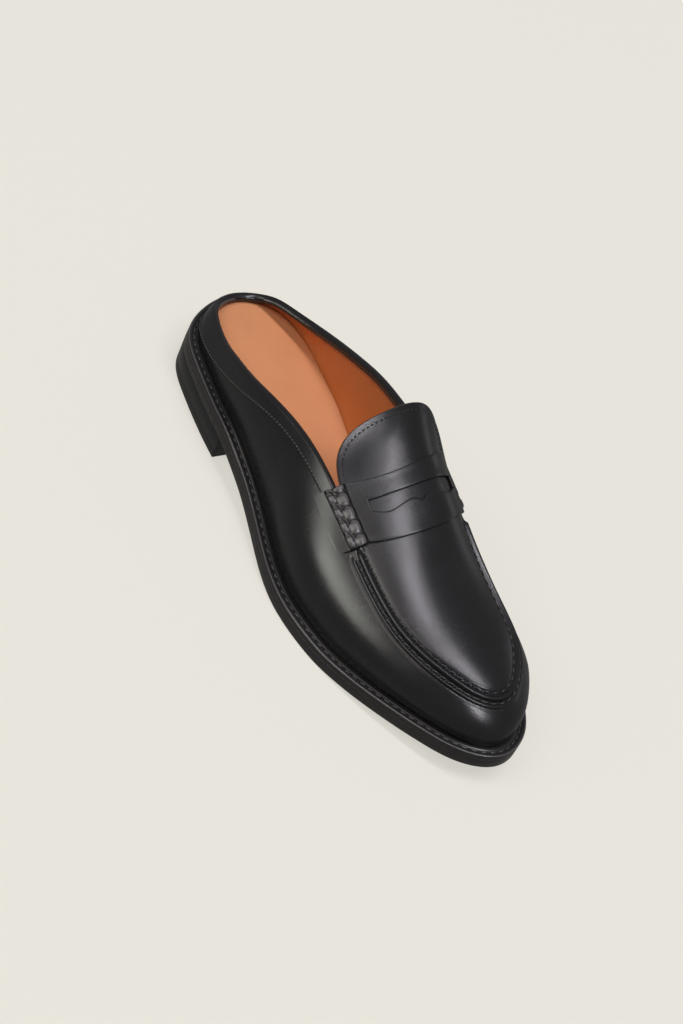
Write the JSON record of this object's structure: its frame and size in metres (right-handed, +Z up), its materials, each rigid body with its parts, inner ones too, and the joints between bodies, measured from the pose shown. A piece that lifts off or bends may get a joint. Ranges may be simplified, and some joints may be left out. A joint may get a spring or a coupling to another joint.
{
  "type": "backless penny loafer mule shoe",
  "caption": "Backless leather penny loafer with a raised apron seam, a slotted saddle strap, a broad tongue, a welted sole and a low stacked heel.",
  "frame": {"origin": "centre of the shoe's bounding box in plan, at the floor under its sole", "axes": "+Y from heel to toe, +X to the outer (lateral) side of the right foot, +Z up"},
  "size_m": [0.1023, 0.296, 0.0915],
  "materials": {
    "black_calf": "smooth, semi-matt",
    "black_edge": "inked and waxed edge",
    "black_rubber": "matt",
    "tan_sock": "smooth, undyed"
  },
  "bodies": {
    "root": {"heel_top_lift": "black_rubber", "heel_block": "black_edge", "outsole": "black_edge", "welt": "black_edge", "insole": "tan_sock", "upper": "black_calf", "collar_binding": "black_calf", "saddle_strap": "black_calf", "strap_roll_lateral": "black_calf", "strap_roll_medial": "black_calf", "tongue": "black_calf"}
  },
  "joints": []
}
